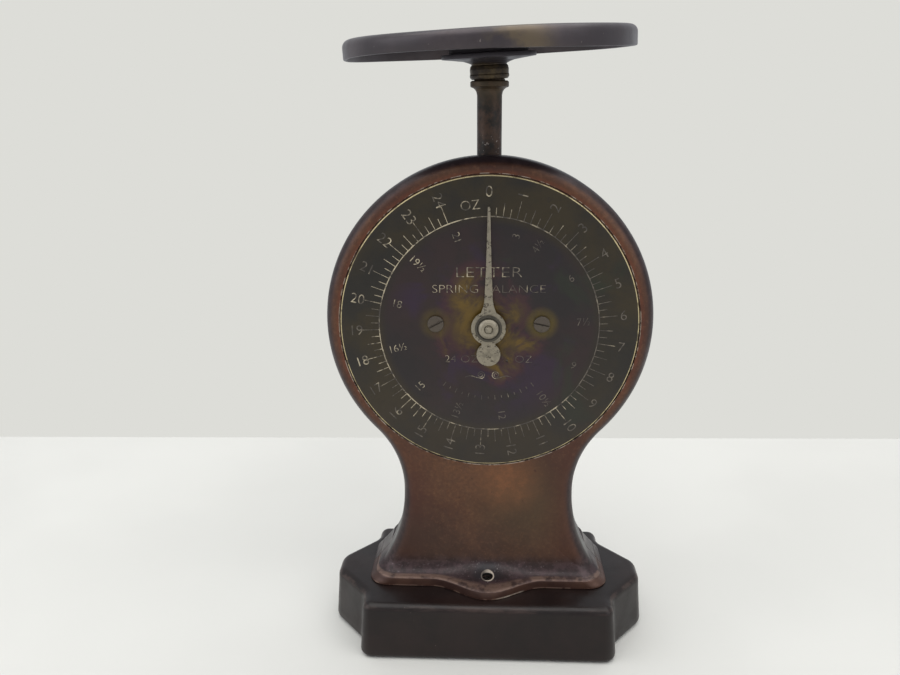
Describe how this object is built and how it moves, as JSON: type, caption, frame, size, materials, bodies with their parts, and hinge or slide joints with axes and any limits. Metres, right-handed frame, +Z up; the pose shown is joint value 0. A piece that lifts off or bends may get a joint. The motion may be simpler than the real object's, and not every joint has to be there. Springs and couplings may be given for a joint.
{
  "type": "letter scale",
  "caption": "Spring letter scale: waisted upright casing on a stepped plinth, with a round dial, a pointer, and a sliding post that carries a round pan.",
  "frame": {"origin": "on the surface it stands on, under the centre of its bounding box, which is the post's axis", "axes": "+Z up, the dial faces -Y, +X to the right of the dial"},
  "size_m": [0.1172, 0.0947, 0.2174],
  "materials": {
    "base_black": "semi-gloss black-brown lacquer",
    "copper_brown": "copper-brown lacquered steel, satin",
    "rear_black": "dark lacquered steel, satin",
    "dial_brass": "dark lacquered brass with pale figures",
    "pan_bronze": "bronzed brass, satin",
    "post_brown": "dark bronzed brass",
    "steel": "plain steel",
    "brass": "plain brass",
    "frame_iron": "dark steel plate",
    "leather": "buffer leather"
  },
  "bodies": {
    "housing": {"base_plinth": "base_black", "front_casing": "copper_brown", "rear_casing": "rear_black", "dial_plate": "dial_brass", "dial_spacer_left": "brass", "dial_spacer_right": "brass", "pillar_left": "brass", "pillar_right": "brass", "post_bush": "brass", "arbor_bush_front": "brass", "arbor_bush_rear": "brass", "movement_frame": "frame_iron", "arbor_bridge": "frame_iron", "link_bracket": "frame_iron", "dial_screw_left": "steel", "dial_screw_right": "steel", "spring_stud_left": "steel", "spring_stud_right": "steel", "link_pivot": "steel", "bracket_screw": "steel", "casing_screw_upper_left": "steel", "casing_screw_upper_right": "steel", "casing_screw_lower_left": "steel", "casing_screw_lower_right": "steel", "frame_screw_top": "steel", "frame_screw_lower_left": "steel", "frame_screw_lower_right": "steel", "foot_screw_front": "steel", "foot_screw_rear_left": "steel", "foot_screw_rear_right": "steel", "spring_left": "steel", "spring_right": "steel"},
    "pan_carriage": {"carriage": "frame_iron", "post": "post_brown", "post_pin": "steel", "buffer_washer": "leather", "rack": "brass", "rack_screw_upper": "steel", "rack_screw_lower": "steel", "carriage_stud_left": "steel", "carriage_stud_right": "steel", "check_pin": "steel", "pan": "pan_bronze", "pan_flange": "pan_bronze", "pan_rivet_1": "pan_bronze", "pan_rivet_2": "pan_bronze", "pan_rivet_3": "pan_bronze"},
    "pointer_train": {"pointer_arbor": "steel", "pinion": "brass", "pointer": "steel", "pointer_washer": "steel", "pointer_nut": "steel"},
    "check_lever": {"check_link": "frame_iron"}
  },
  "joints": [
    {"name": "pan_travel", "type": "slide", "parent": "housing", "child": "pan_carriage", "axis": [0, 0, -1], "range_m": [0, 0.0178], "stiffness_N_per_m": 375, "springref_m": -0.0055, "deforming": ["spring_left", "spring_right"]},
    {"name": "pointer_turn", "type": "hinge", "parent": "housing", "child": "pointer_train", "pos_m": [0, 0, 0.1194], "axis": [0, 1, 0], "range_deg": [0, 340]},
    {"name": "check_link_swing", "type": "hinge", "parent": "housing", "child": "check_lever", "pos_m": [-0.02443, 0, 0.0571], "axis": [0, 1, 0], "range_deg": [0, 40.1]}
  ],
  "couplings": [
    {"joint": "pointer_turn", "follows": "pan_travel", "rad_per_m": 333.33},
    {"joint": "check_link_swing", "follows": "pan_travel", "rad_per_m": 39.26}
  ]
}
